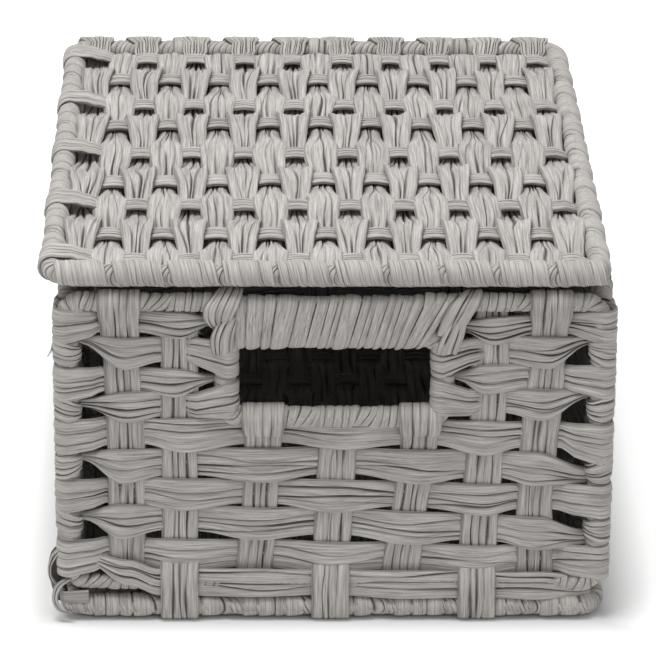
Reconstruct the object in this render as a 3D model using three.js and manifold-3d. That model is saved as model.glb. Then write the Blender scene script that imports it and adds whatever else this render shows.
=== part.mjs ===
// Folding storage basket with a lid: six woven panels, each on a bent wire frame with wrapped
// rails, tied edge to edge so that the walls fold flat. Millimetres, +Z up, the front faces -Y,
// and the origin lies under the middle of the outline.
import * as THREE from 'three';
import { mergeVertices } from 'three/addons/utils/BufferGeometryUtils.js';
import Module from 'manifold-3d';

const wasm = await Module();
wasm.setup();

// Driving dimensions of the box
const boxWidth = 290; // over the corner posts, left to right
const boxDepth = 380; // over the corner posts, front to back
const wallHeight = 171; // one wall over its own rails
const railDiameter = 13; // wrapped rails of the base and the walls
const lidRailDiameter = 14.4; // the lid's rails are wrapped thicker
const lidOverhang = 3; // of the lid's side rails past the posts, each side
const lidSlide = -4.5; // the lid hangs a little to the left on its loose ties
const wireDiameter = 5;
const cornerRadius = 10; // bends of a wall's wire
const lidCornerRadius = 13;
const baseCornerRadius = 12;
const handleCornerRadius = 8;

// Handle in the front wall
const handHoleWidth = 100;
const handHoleHeight = 32;
const gripHeight = 32; // over both rods
const gripEndGap = 2; // from the hand hole's side to the end of the grip
const gripBands = 9; // turns of ribbon that show as ribs
const gripRib = 0.5; // depth between two turns

// Weave
const sheetThickness = 2.4; // where one ribbon lies alone
const weaveThickness = 8.4; // over two crossing ribbons
const weaverTaper = 0.3; // share of its length in which a weaver dips at each end
const wallRows = 10;
const topRailShow = 11; // of the top rail above the first row
const innerStakes = 5; // of the front and rear walls
const innerStakeInset = 58.5; // from the posts' wire to the first of these
const outerStakeInset = 30; // to the two stakes beside the posts
const sideStakes = 8;
const sideStakeInset = 29.7;
const lidStakes = 9;
const lidStakeInset = 23.5;
const lidWeavers = 19;
const baseWeavers = 9;

// Ties, straps and running gaps
const hingeGap = 0.8; // between two rails that are tied together
const wireGap = 0.4; // round a wire inside its wrapping
const tieGap = 0.3; // round a wire inside a tie
const seatGap = 0.5; // beside a tie or the grip
const tieHeight = 12; // along a post
const tieInset = 0.2; // of a tie under the face of its rail
const strapWidth = 19; // along a rail, as wide as a stake
const strapSpacing = 80; // between straps, which follow every second stake
const lidTieSwing = 3; // extra room under the lid's ties, where they swing back

// Facets
const railSides = 8;
const fineRailSides = 12; // of the lid and the front wall, which are seen first
const wireSides = 6;
const bendSteps = 2;
const arcSteps = 4; // in a half turn

// Sizes that follow
const railRadius = railDiameter / 2;
const lidRailRadius = lidRailDiameter / 2;
const wireRadius = wireDiameter / 2;
const boreRadius = wireRadius + wireGap;
const tiePitch = railDiameter + hingeGap; // between the wires of two tied rails
const lidTiePitch = railRadius + lidRailRadius + hingeGap;
const frameWidth = boxWidth - railDiameter; // all frames are measured on the wire
const frameDepth = boxDepth - railDiameter;
const frameHeight = wallHeight - railDiameter;
const sideLength = frameDepth - 2 * tiePitch;
const lidWidth = frameWidth + 2 * lidOverhang;
const baseLevel = railRadius;
const wallLevel = baseLevel + tiePitch + frameHeight / 2; // middle of the walls
const lidLevel = baseLevel + tiePitch + frameHeight + lidTiePitch;
const rowPitch = (wallHeight - topRailShow) / wallRows;
const handleWidth = handHoleWidth + railDiameter;
const handleHeight = handHoleHeight + railDiameter;
const handleTop = frameHeight / 2 - (gripHeight - railDiameter);
const handleMiddle = handleTop - handleHeight / 2;
const gripLength = handHoleWidth - 2 * gripEndGap;

// Materials
const ribbon = new THREE.MeshStandardMaterial({ color: 0x9e9a96, roughness: 0.72, metalness: 0 });
const paleRibbon = new THREE.MeshStandardMaterial({ color: 0xa9a6a1, roughness: 0.68, metalness: 0 });
const wire = new THREE.MeshStandardMaterial({ color: 0x4a4845, roughness: 0.45, metalness: 0.8 });

// Solids from meshes and back
function solidOf(geometry) {
  const bare = geometry.clone();
  bare.deleteAttribute('normal');
  bare.deleteAttribute('uv');
  const merged = mergeVertices(bare, 1e-4);
  return new wasm.Manifold(new wasm.Mesh({
    numProp: 3,
    vertProperties: Float32Array.from(merged.attributes.position.array),
    triVerts: Uint32Array.from(merged.index.array),
  }));
}

function geometryOf(solid) {
  const mesh = solid.getMesh();
  const geometry = new THREE.BufferGeometry();
  geometry.setAttribute('position', new THREE.BufferAttribute(Float32Array.from(mesh.vertProperties), 3));
  geometry.setIndex(new THREE.BufferAttribute(Uint32Array.from(mesh.triVerts), 1));
  geometry.computeVertexNormals();
  return geometry;
}

function fromRings(rings, sides, closed) {
  const index = [];
  const count = rings.length;
  for (let ring = 0; ring < (closed ? count : count - 1); ring += 1) {
    for (let side = 0; side < sides; side += 1) {
      const a = ring * sides + side;
      const b = ring * sides + (side + 1) % sides;
      const c = ((ring + 1) % count) * sides + side;
      const d = ((ring + 1) % count) * sides + (side + 1) % sides;
      index.push(a, b, c, b, d, c);
    }
  }
  if (!closed) {
    const last = (count - 1) * sides;
    for (let side = 1; side < sides - 1; side += 1) {
      index.push(0, side + 1, side, last, last + side, last + side + 1);
    }
  }
  const geometry = new THREE.BufferGeometry();
  geometry.setAttribute('position', new THREE.Float32BufferAttribute(rings.flat(2), 3));
  geometry.setIndex(index);
  return geometry;
}

// A round bar bent to a closed rounded rectangle in the XZ plane, with its flats at the radius
function bentLoop(width, height, corner, radius, sides) {
  const reach = radius / Math.cos(Math.PI / sides);
  const rings = [];
  for (let quarter = 0; quarter < 4; quarter += 1) {
    const middle = (quarter + 0.5) * Math.PI / 2;
    const centreX = Math.sign(Math.cos(middle)) * (width / 2 - corner);
    const centreZ = Math.sign(Math.sin(middle)) * (height / 2 - corner);
    for (let step = 0; step <= bendSteps; step += 1) {
      const turn = (quarter + step / bendSteps) * Math.PI / 2;
      const ring = [];
      for (let side = 0; side < sides; side += 1) {
        const angle = (side + 0.5) / sides * 2 * Math.PI;
        const out = corner + reach * Math.cos(angle);
        ring.push([centreX + out * Math.cos(turn), reach * Math.sin(angle), centreZ + out * Math.sin(turn)]);
      }
      rings.push(ring);
    }
  }
  return fromRings(rings, sides, true);
}

// Cell edges between evenly or freely spaced stakes, with a plain strip at each end
function edgesAround(stakes, half) {
  const last = stakes.length - 1;
  const middles = stakes.slice(1).map((place, i) => (place + stakes[i]) / 2);
  const first = stakes[0] - (stakes[1] - stakes[0]) / 2;
  const end = stakes[last] + (stakes[last] - stakes[last - 1]) / 2;
  return [-half, first, ...middles, end, half];
}

function evenStakes(count, span, inset) {
  return Array.from({ length: count }, (_, i) => (i / (count - 1) - 0.5) * (span - 2 * inset));
}

function frontStakes() {
  const outer = frameWidth / 2 - outerStakeInset;
  return [-outer, ...evenStakes(innerStakes, frameWidth, innerStakeInset), outer];
}

function evenEdges(count, span) {
  return Array.from({ length: count + 1 }, (_, i) => (i / count - 0.5) * span);
}

function wallRowEdges() {
  const bottom = -frameHeight / 2 - railRadius;
  const tops = Array.from({ length: wallRows }, (_, i) => bottom + (i + 1) * rowPitch);
  return [-frameHeight / 2, ...tops, frameHeight / 2];
}

// A woven sheet in the XZ plane. Weavers and stakes take turns on top: a weaver humps in a ridge
// with tapered ends over its stake, a stake lies flat, and the two faces show opposite ones.
function wovenSheet({ columns, rows, weaversAlongX }) {
  const positions = [];
  const thin = sheetThickness / 2;
  const hump = weaveThickness / 2;
  const lastColumn = columns.length - 2;
  const lastRow = rows.length - 2;

  const addFace = (face, points) => {
    const ordered = face < 0 ? points : [...points].reverse();
    for (let i = 1; i < ordered.length - 1; i += 1) {
      for (const [x, y, z] of [ordered[0], ordered[i], ordered[i + 1]]) positions.push(x, face * y, z);
    }
  };
  const addWall = (from, to) => {
    positions.push(from[0], -thin, from[1], to[0], -thin, to[1], to[0], thin, to[1]);
    positions.push(from[0], -thin, from[1], to[0], thin, to[1], from[0], thin, from[1]);
  };

  for (let i = 0; i <= lastColumn; i += 1) {
    for (let j = 0; j <= lastRow; j += 1) {
      const [x0, x1] = [columns[i], columns[i + 1]];
      const [z0, z1] = [rows[j], rows[j + 1]];
      const corners = [[x0, thin, z0], [x1, thin, z0], [x1, thin, z1], [x0, thin, z1]];
      const endStrip = weaversAlongX
        ? i === 0 || i === lastColumn || j === lastRow
        : j === 0 || j === lastRow;
      const turn = (weaversAlongX ? i : i + 1) + lastRow - j;
      for (const face of [-1, 1]) {
        const weaverOnTop = turn % 2 === (face < 0 ? 1 : 0);
        const tapers = [weaverTaper, 1 - weaverTaper];
        if (endStrip || !weaverOnTop) {
          addFace(face, corners);
        } else if (weaversAlongX) {
          const [left, right] = tapers.map((t) => [x0 + t * (x1 - x0), hump, (z0 + z1) / 2]);
          addFace(face, [corners[0], corners[1], right, left]);
          addFace(face, [corners[2], corners[3], left, right]);
          addFace(face, [corners[3], corners[0], left]);
          addFace(face, [corners[1], corners[2], right]);
        } else {
          const [low, high] = tapers.map((t) => [(x0 + x1) / 2, hump, z0 + t * (z1 - z0)]);
          addFace(face, [corners[3], corners[0], low, high]);
          addFace(face, [corners[1], corners[2], high, low]);
          addFace(face, [corners[0], corners[1], low]);
          addFace(face, [corners[2], corners[3], high]);
        }
      }
      if (j === 0) addWall([x1, z0], [x0, z0]);
      if (j === lastRow) addWall([x0, z1], [x1, z1]);
      if (i === 0) addWall([x0, z0], [x0, z1]);
      if (i === lastColumn) addWall([x1, z1], [x1, z0]);
    }
  }
  const geometry = new THREE.BufferGeometry();
  geometry.setAttribute('position', new THREE.Float32BufferAttribute(positions, 3));
  return geometry;
}

// Room for a tie round a post, or for a strap round a rail
function postRoom(x, z, radius) {
  return new THREE.BoxGeometry(2 * radius, 2 * radius, tieHeight + 2 * seatGap).translate(x, 0, z);
}

function railRoom(x, z, radius) {
  return new THREE.BoxGeometry(strapWidth + 2 * seatGap, 2 * radius, 2 * radius).translate(x, 0, z);
}

// One panel's weave with its wrapped rails, bored for the wire and opened where ties go round it
function wovenPanel({ width, height, corner, radius, sheet, rooms, sides = railSides, handle = false }) {
  let solid = solidOf(wovenSheet(sheet));
  const cuts = [bentLoop(width, height, corner, boreRadius, wireSides), ...rooms];
  if (handle) {
    const window = new THREE.BoxGeometry(handleWidth, weaveThickness * 2, handleHeight);
    solid = solid.subtract(solidOf(window.translate(0, 0, handleMiddle)));
    const surround = bentLoop(handleWidth, handleHeight, handleCornerRadius, railRadius, sides);
    solid = solid.add(solidOf(surround.translate(0, 0, handleMiddle)));
    const bore = bentLoop(handleWidth, handleHeight, handleCornerRadius, boreRadius, wireSides);
    cuts.push(bore.translate(0, 0, handleMiddle));
    cuts.push(sleeve(gripLength + 2 * seatGap, railRadius + seatGap, 1, 0));
  }
  solid = solid.add(solidOf(bentLoop(width, height, corner, radius, sides)));
  for (const cut of cuts) solid = solid.subtract(solidOf(cut));
  return geometryOf(solid);
}

// A sleeve along X round the top rail and the handle's upper rod, with ribs where ribbon is wound
function sleeve(length, radius, bands, rib) {
  const steps = arcSteps;
  const sides = 2 * (steps + 1);
  const rings = [];
  for (let k = 0; k <= 2 * bands; k += 1) {
    const reach = (k % 2 === 0 ? radius - rib : radius) / Math.cos(Math.PI / steps / 2);
    const ring = [];
    for (let side = 0; side < sides; side += 1) {
      const upper = side <= steps;
      const angle = (upper ? side : side - 1) / steps * Math.PI;
      const centre = upper ? frameHeight / 2 : handleTop;
      ring.push([(k / (2 * bands) - 0.5) * length, reach * Math.cos(angle), centre + reach * Math.sin(angle)]);
    }
    rings.push(ring);
  }
  return fromRings(rings, sides, false);
}

function handleGrip() {
  let solid = solidOf(sleeve(gripLength, railRadius, gripBands, gripRib));
  for (const level of [frameHeight / 2, handleTop]) {
    const bore = new THREE.CylinderGeometry(
      boreRadius / Math.cos(Math.PI / wireSides), boreRadius / Math.cos(Math.PI / wireSides),
      gripLength * 2, wireSides, 1, false, Math.PI / wireSides,
    );
    solid = solid.subtract(solidOf(bore.rotateZ(Math.PI / 2).translate(0, 0, level)));
  }
  return geometryOf(solid);
}

// A ribbon tie round two wires: an endless band, drawn in its own XY plane and extruded along Z
function tieBand(reachX, reachY, length) {
  const turn = Math.atan2(reachY, reachX);
  const band = (path, radius) => {
    path.absarc(0, 0, radius, turn + Math.PI / 2, turn + Math.PI * 1.5, false);
    path.absarc(reachX, reachY, radius, turn - Math.PI / 2, turn + Math.PI / 2, false);
    path.closePath();
    return path;
  };
  const outline = band(new THREE.Shape(), railRadius - tieInset);
  const inner = wireRadius / Math.cos(Math.PI / wireSides) + tieGap;
  outline.holes.push(band(new THREE.Path(), inner / Math.cos(Math.PI / arcSteps / 2)));
  const geometry = new THREE.ExtrudeGeometry(outline, {
    depth: length,
    bevelEnabled: false,
    curveSegments: arcSteps / 2,
  });
  return geometry.translate(0, 0, -length / 2);
}

function addMesh(group, name, geometry, material, x = 0, y = 0, z = 0) {
  const mesh = new THREE.Mesh(geometry, material);
  mesh.name = name;
  mesh.position.set(x, y, z);
  group.add(mesh);
}

const tieLevels = [1, 3, 5, 7].map((row) => frameHeight / 2 + railRadius - topRailShow - (row + 0.5) * rowPitch);
const strapPlaces = [-1, 0, 1].map((side) => side * strapSpacing);
const tieRoomRadius = railRadius + 2 * wireGap + 0.1;
const postRooms = (width) => [-width / 2, width / 2].flatMap(
  (x) => tieLevels.map((z) => postRoom(x, z, tieRoomRadius)),
);

const basket = new THREE.Group();

// Base: the lowest panel, whose front rail carries the walls
const base = new THREE.Group();
base.position.set(0, 0, baseLevel);
base.rotation.x = Math.PI / 2;
addMesh(base, 'base_frame', bentLoop(frameWidth, frameDepth, baseCornerRadius, wireRadius, wireSides), wire);
addMesh(base, 'base_weave', wovenPanel({
  width: frameWidth,
  height: frameDepth,
  corner: baseCornerRadius,
  radius: railRadius,
  sheet: {
    columns: evenEdges(baseWeavers, frameWidth),
    rows: edgesAround(evenStakes(lidStakes, frameDepth, lidStakeInset), frameDepth / 2),
    weaversAlongX: false,
  },
  rooms: strapPlaces.map((x) => railRoom(x, frameDepth / 2, tieRoomRadius)),
}), ribbon);
basket.add(base);

// Front wall, with the hand hole and its grip
const front = new THREE.Group();
front.position.set(0, -frameDepth / 2, wallLevel);
addMesh(front, 'front_frame', bentLoop(frameWidth, frameHeight, cornerRadius, wireRadius, wireSides), wire);
addMesh(
  front, 'handle_wire',
  bentLoop(handleWidth, handleHeight, handleCornerRadius, wireRadius, wireSides), wire, 0, 0, handleMiddle,
);
addMesh(front, 'handle_grip', handleGrip(), paleRibbon);
addMesh(front, 'front_weave', wovenPanel({
  width: frameWidth,
  height: frameHeight,
  corner: cornerRadius,
  radius: railRadius,
  sheet: { columns: edgesAround(frontStakes(), frameWidth / 2), rows: wallRowEdges(), weaversAlongX: true },
  rooms: [
    ...postRooms(frameWidth),
    ...strapPlaces.map((x) => railRoom(x, -frameHeight / 2, tieRoomRadius)),
  ],
  sides: fineRailSides,
  handle: true,
}), ribbon);
basket.add(front);

// Side walls, which stand between the front and the rear wall
for (const [name, side] of [['left', -1], ['right', 1]]) {
  const wall = new THREE.Group();
  wall.position.set(side * frameWidth / 2, 0, wallLevel);
  wall.rotation.z = side * Math.PI / 2;
  addMesh(wall, `${name}_frame`, bentLoop(sideLength, frameHeight, cornerRadius, wireRadius, wireSides), wire);
  addMesh(wall, `${name}_weave`, wovenPanel({
    width: sideLength,
    height: frameHeight,
    corner: cornerRadius,
    radius: railRadius,
    sheet: {
      columns: edgesAround(evenStakes(sideStakes, sideLength, sideStakeInset), sideLength / 2),
      rows: wallRowEdges(),
      weaversAlongX: true,
    },
    rooms: postRooms(sideLength),
  }), ribbon);
  basket.add(wall);
}

// Rear wall, which carries the lid
const rear = new THREE.Group();
rear.position.set(0, frameDepth / 2, wallLevel);
rear.rotation.z = Math.PI;
addMesh(rear, 'rear_frame', bentLoop(frameWidth, frameHeight, cornerRadius, wireRadius, wireSides), wire);
addMesh(rear, 'rear_weave', wovenPanel({
  width: frameWidth,
  height: frameHeight,
  corner: cornerRadius,
  radius: railRadius,
  sheet: { columns: edgesAround(frontStakes(), frameWidth / 2), rows: wallRowEdges(), weaversAlongX: true },
  rooms: [
    ...postRooms(frameWidth),
    ...strapPlaces.map((x) => railRoom(x, frameHeight / 2, tieRoomRadius + lidTieSwing)),
  ],
}), ribbon);
basket.add(rear);

// Corner ties: one band round a post of the front or rear wall and the side wall's post behind it
for (const [wallName, wall, leftSide] of [['front', front, -1], ['rear', rear, 1]]) {
  for (const side of [-1, 1]) {
    const sideName = side === leftSide ? 'left' : 'right';
    tieLevels.forEach((level, i) => {
      addMesh(
        wall, `${wallName}_${sideName}_tie_${i + 1}`, tieBand(0, tiePitch, tieHeight), paleRibbon,
        side * frameWidth / 2, 0, level,
      );
    });
  }
}

// Straps that tie the base's front rail under the front wall
strapPlaces.forEach((x, i) => {
  const strap = tieBand(tiePitch, 0, strapWidth).rotateY(Math.PI / 2);
  addMesh(front, `base_strap_${i + 1}`, strap, paleRibbon, x, 0, -frameHeight / 2);
});

// Lid, tied above the rear wall's top rail
const lid = new THREE.Group();
lid.position.set(lidSlide, 0, lidLevel);
lid.rotation.x = -Math.PI / 2;
addMesh(lid, 'lid_frame', bentLoop(lidWidth, frameDepth, lidCornerRadius, wireRadius, wireSides), wire);
addMesh(lid, 'lid_weave', wovenPanel({
  width: lidWidth,
  height: frameDepth,
  corner: lidCornerRadius,
  radius: lidRailRadius,
  sheet: {
    columns: evenEdges(lidWeavers, lidWidth),
    rows: edgesAround(evenStakes(lidStakes, frameDepth, lidStakeInset), frameDepth / 2),
    weaversAlongX: false,
  },
  rooms: strapPlaces.map((x) => railRoom(x - lidSlide, frameDepth / 2, lidRailRadius + tieRoomRadius - railRadius)),
  sides: fineRailSides,
}), paleRibbon);
strapPlaces.forEach((x, i) => {
  const tie = tieBand(0, lidTiePitch, strapWidth).rotateY(Math.PI / 2);
  addMesh(lid, `lid_tie_${i + 1}`, tie, paleRibbon, x - lidSlide, 0, frameDepth / 2);
});
basket.add(lid);

// The origin goes under the middle of the whole outline, which the shifted lid widens
const leftEdge = Math.min(-boxWidth / 2, lidSlide - lidWidth / 2 - lidRailRadius);
const rightEdge = Math.max(boxWidth / 2, lidSlide + lidWidth / 2 + lidRailRadius);
basket.position.x = -(leftEdge + rightEdge) / 2;

export default basket;
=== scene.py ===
import math

import bpy
import numpy as np
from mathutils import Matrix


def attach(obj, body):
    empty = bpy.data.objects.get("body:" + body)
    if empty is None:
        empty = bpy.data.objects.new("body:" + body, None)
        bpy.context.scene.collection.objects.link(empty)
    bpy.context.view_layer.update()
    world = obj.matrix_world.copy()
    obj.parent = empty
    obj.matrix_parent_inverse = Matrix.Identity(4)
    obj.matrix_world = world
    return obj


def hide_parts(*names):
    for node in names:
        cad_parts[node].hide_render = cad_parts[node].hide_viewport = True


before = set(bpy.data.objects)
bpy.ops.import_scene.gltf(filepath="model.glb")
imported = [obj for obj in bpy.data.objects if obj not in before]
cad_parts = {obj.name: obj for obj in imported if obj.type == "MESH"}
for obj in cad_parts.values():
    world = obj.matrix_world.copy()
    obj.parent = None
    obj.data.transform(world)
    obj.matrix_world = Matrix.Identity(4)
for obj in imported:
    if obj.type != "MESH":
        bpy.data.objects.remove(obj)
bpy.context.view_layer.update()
print("frame loaded:", len(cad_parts), "nodes")

mm = 0.001

# Each panel is drawn in its own plane: x along it, z up it, h out of its face, all in millimetres
panels = {
    "front": {"body": "front_wall", "origin": (4.1, -183.5, 99.3), "right": (1, 0, 0), "size": (277.0, 158.0)},
    "rear": {"body": "rear_wall", "origin": (4.1, 183.5, 99.3), "right": (-1, 0, 0), "size": (277.0, 158.0)},
    "left": {"body": "left_wall", "origin": (-134.4, 0, 99.3), "right": (0, -1, 0), "size": (339.4, 158.0)},
    "right": {"body": "right_wall", "origin": (142.6, 0, 99.3), "right": (0, 1, 0), "size": (339.4, 158.0)},
    "lid": {"body": "lid", "origin": (-0.4, 0, 192.8), "right": (1, 0, 0), "up": (0, 1, 0), "size": (283.0, 367.0)},
    "base": {"body": "base", "origin": (4.1, 0, 6.5), "right": (1, 0, 0), "up": (0, -1, 0), "size": (277.0, 367.0)},
}
railRadius = 6.5  # of a rail with its ribbon
# The rail round the hand hole, which takes the place of four rows; a thinner turn inside it
# rounds the corners of the hole
handle = {
    "width": 113.0, "height": 45.0, "corner": 8.0, "bend": 12.6, "middle": 37.5, "radius": 5.4, "rows": 4,
    "pitch": 3.8, "slantRun": (8, 12), "inset": 5.0, "insideCorner": 10.0, "insideRadius": 2.6,
}


# Slow curves
def eased(at, stops, values):
    # from value to value with level ends, like a ribbon laid over bars
    at, stops, values = np.asarray(at, float), np.asarray(stops, float), np.asarray(values, float)
    k = np.clip(np.searchsorted(stops, at, side="right") - 1, 0, len(stops) - 2)
    t = np.clip((at - stops[k]) / (stops[k + 1] - stops[k]), 0, 1)
    t = t * t * (3 - 2 * t)
    return values[k] * (1 - t) + values[k + 1] * t


def wander(along, reach, rng):
    # a slow random curve between -1 and 1, with a bend about every reach
    stops = np.arange(along.min() - 2 * reach, along.max() + 3 * reach, reach)
    return eased(along, stops, rng.uniform(-1, 1, len(stops)))


def lengthAlong(points):
    # how far along a flat line each of its points lies
    return np.concatenate([[0], np.cumsum(np.hypot(*np.diff(points, axis=0).T))])


# Meshes from rings of points
uvAcross, uvAlong = 18.0, 20.0  # millimetres to one unit of the UV map
# painted shade: the crease mark of the point that closes each ribbon tip, darkening it where the ribbon tucks under
endTipShade = 0.6


def newBatch():
    return {"points": [], "faces": [], "uv": [], "crease": [], "tone": [], "count": 0}


def addRings(batch, rings, acrossUv, alongUv, crease, tone, closed=False):
    stations, around, _ = rings.shape
    index = batch["count"] + np.arange(stations * around).reshape(stations, around)
    nextRing = np.roll(index, -1, axis=0) if closed else index[1:]
    thisRing = index if closed else index[:-1]
    quads = np.stack([thisRing, nextRing, np.roll(nextRing, -1, axis=1), np.roll(thisRing, -1, axis=1)], axis=-1)
    batch["faces"].extend(quads.reshape(-1, 4).tolist())
    batch["points"].append(rings.reshape(-1, 3))
    uv = np.stack([np.broadcast_to(values, (stations, around)) for values in (acrossUv, alongUv)], axis=-1)
    batch["uv"].append(uv.reshape(-1, 2))
    for key, values in (("crease", crease), ("tone", tone)):
        batch[key].append(np.broadcast_to(values, (stations, around)).reshape(-1))
    batch["count"] += stations * around
    if closed:
        return
    for ring in (0, stations - 1):  # a fan closes each end
        batch["points"].append(rings[ring].mean(axis=0)[None])
        batch["uv"].append(uv[ring, :1])
        # painted shade at the ribbon's tip
        batch["crease"].append(np.array([endTipShade]))
        batch["tone"].append(np.array([tone]))
        loop = index[ring] if ring else index[ring][::-1]
        batch["faces"].extend([[batch["count"], int(a), int(b)] for a, b in zip(loop, np.roll(loop, -1))])
        batch["count"] += 1


def batchToPiece(batch, name, panel, replaced=()):
    place = panels[panel]
    right, up = np.array(place["right"], float), np.array(place.get("up", (0, 0, 1)), float)
    out = np.cross(right, up)
    local = np.concatenate(batch["points"])
    world = np.array(place["origin"], float) + local[:, :1] * right + local[:, 1:2] * up + local[:, 2:] * out
    mesh = bpy.data.meshes.new(name)
    mesh.from_pydata((world * mm).tolist(), [], batch["faces"])
    mesh.polygons.foreach_set("use_smooth", np.ones(len(mesh.polygons), bool))
    corner = np.zeros(len(mesh.loops), np.int32)
    mesh.loops.foreach_get("vertex_index", corner)
    layer = mesh.uv_layers.new(name="UVMap")
    layer.data.foreach_set("uv", np.concatenate(batch["uv"])[corner].astype(np.float32).ravel())
    for key in ("crease", "tone"):
        values = np.concatenate(batch[key]).astype(np.float32)
        mesh.attributes.new(key, "FLOAT", "POINT").data.foreach_set("value", values)
    piece = bpy.data.objects.new(name, mesh)
    bpy.context.scene.collection.objects.link(piece)
    bpy.ops.object.select_all(action="DESELECT")
    piece.select_set(True)
    bpy.context.view_layer.objects.active = piece
    bpy.ops.object.shade_smooth_by_angle(angle=math.radians(42))
    mesh.materials.append(greyRibbon)
    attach(piece, place["body"])
    if replaced:
        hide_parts(*replaced)
    print(name, 2 * len(mesh.polygons), "triangles at most")


def weavePiece(batch, panel, kind):
    batchToPiece(batch, f"{panel}_{kind}", panel, [f"{panel}_weave"])


# A folded ribbon. Its section has pleats on both faces. Just above each crease a pleat stands
# high, and it falls away to where it slips under the next one.
pleating = {
    "mirrored": 0.3, "spread": 0.42, "waver": 0.5, "pinched": 1.5, "shallowest": 0.03, "apart": 0.05, "lastEdge": 0.96,
    "crown": (0.7, 1.3), "tilted": 0.8, "backDip": 0.35, "edge": (-0.3, 0.5),
}


def edgeRow(place):
    # painted shade: a ribbon's edges get a crease mark where they meet or slip under their neighbours
    drop, mark = pleating["edge"]
    return place, np.full(len(place), drop), np.full(len(place), mark)


def pleatSide(along, ribbon, pleats, pinch, splay, rng, fine):
    # rows of (place across, height, crease mark) along one face
    cuts, weights = np.linspace(-1, 1, pleats + 1), np.ones(pleats + 1)
    if fine and "cuts" in ribbon:
        cuts, weights = np.array(ribbon["cuts"]), np.array(ribbon["weights"])
    if fine and rng.random() < pleating["mirrored"]:
        cuts, weights = -cuts[::-1], weights[::-1]
    spread = rng.uniform(-pleating["spread"], pleating["spread"], pleats + 1) / pleats * ribbon["spread"]
    edges, depths, gaps = [], [], []
    for k in range(pleats + 1):
        inner = 0 < k < pleats
        edges.append(np.full(len(along), cuts[k]))
        if inner:
            edges[k] = (cuts[k] + spread[k]) * splay + wander(along, ribbon["drift"], rng) * ribbon["stray"] / pleats
        waver = pleating["waver"] * wander(along, ribbon["drift"] * 0.9, rng)
        deep = weights[k] * (ribbon["depth"] + waver + pleating["pinched"] * (pinch - 1))
        depths.append(np.clip(deep, pleating["shallowest"], 1.0) if inner else np.ones(len(along)))
        gaps.append(ribbon["groove"] * (1.0 + 0.85 * wander(along, ribbon["drift"] * 0.7, rng)) / pleats)
    for k in range(1, pleats):  # a crease may run into the next one, but never past it
        edges[k] = np.maximum(edges[k], edges[k - 1] + pleating["apart"])
    edges[pleats - 1] = np.minimum(edges[pleats - 1], pleating["lastEdge"])
    for k in range(pleats - 2, 0, -1):
        edges[k] = np.minimum(edges[k], edges[k + 1] - pleating["apart"])
    crown = rng.uniform(*pleating["crown"], pleats)
    tilt = ribbon["tilt"] * (1 if rng.random() < pleating["tilted"] else -1)
    dip = ribbon["crease"] * (1.0 if fine else pleating["backDip"])
    # painted shade: the third number of each profile point is a crease mark that darkens the colour, in the creases and
    # most just under each pleat's overhang, where its shadow falls
    profile = ((0.0, 0.7, 0.2), (0.5, 1.0, 0.0), (1.0, 0.6, 0.2))
    if fine:
        profile = ((0.0, 0.7 + tilt, 0.1), (0.1, 0.95 + tilt * 0.7, 0.0), (0.5, 1.0, 0.0),
                   (0.84, 0.85 - tilt * 0.6, 0.06), (1.0, 0.5 - tilt, 0.62))
    rows = []
    for k in range(pleats):
        start, room = edges[k], edges[k + 1] - edges[k]
        high = ribbon["relief"] * crown[k] * np.clip(pinch, 0.85, 1.6) * np.clip(room * pleats / 1.6, 0.35, 1.0)
        if k == 0:
            rows.append(edgeRow(start))
        else:
            rows.append((start, 0.7 * high * (1 - depths[k]) - dip * depths[k], 0.1 + 0.9 * depths[k]))
        left = np.minimum(gaps[k] * depths[k], 0.3 * room) + 0.02 * room
        right = np.minimum(gaps[k + 1] * depths[k + 1], 0.3 * room) + 0.02 * room
        for f, rise, mark in profile:
            place = start + left + f * (room - left - right)
            rows.append((place, high * rise, mark * (depths[k] if f < 0.3 else depths[k + 1])))
    return rows


def addRibbon(batch, curve, middle, half, ribbon, rng, alongX, cup, splay):
    # curve is (u, h) in the plane across the panel; middle and half place its two edges on the third axis
    along = lengthAlong(curve)
    tangent = np.gradient(curve, axis=0)
    tangent /= np.linalg.norm(tangent, axis=1)[:, None]
    normal = np.stack([-tangent[:, 1], tangent[:, 0]], axis=1)
    pinch = np.clip(ribbon["width"] / 2 / np.maximum(half, 1.0), 0.8, 2.0)
    upper = pleatSide(along, ribbon, ribbon["pleats"], pinch, splay, rng, True) + [edgeRow(np.ones(len(along)))]
    lower = pleatSide(along, ribbon, ribbon["backPleats"], pinch, 1.0, rng, False)
    rows = [(1, *row) for row in upper] + [(-1, *row) for row in lower[1:][::-1]]
    sides = np.array([side for _, side, _, _ in rows]).T
    heights = np.array([face * (height + ribbon["thickness"] / 2) for face, _, height, _ in rows]).T
    creases = np.array([mark for _, _, _, mark in rows]).T
    # the edges curl back a little, more where the ribbon is squeezed
    curl = ribbon["curl"] * pinch ** 2 - cup
    plane = curve[:, None, :] + normal[:, None, :] * (heights - curl[:, None] * sides ** 2)[:, :, None]
    across = half[:, None] * sides
    if alongX:
        rings = np.stack([plane[:, :, 0], middle[:, None] + across, plane[:, :, 1]], axis=-1)
    else:
        rings = np.stack([middle[:, None] - across, plane[:, :, 0], plane[:, :, 1]], axis=-1)
    acrossUv = sides * ribbon["width"] / (2 * uvAcross) + rng.uniform(0, 40)
    addRings(batch, rings, acrossUv, along[:, None] / uvAlong + rng.uniform(0, 40), creases, rng.uniform(-1, 1))


def roundRail(centre, radius, start, stop, middle, half, steps):
    # part of a turn round a rail, from one angle to another; 90 degrees is the panel's face
    angle = np.radians(np.linspace(start, stop, steps))
    return np.stack([centre + radius * np.cos(angle), radius * np.sin(angle),
                     middle * np.ones(steps), half * np.ones(steps)], axis=1)


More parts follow.
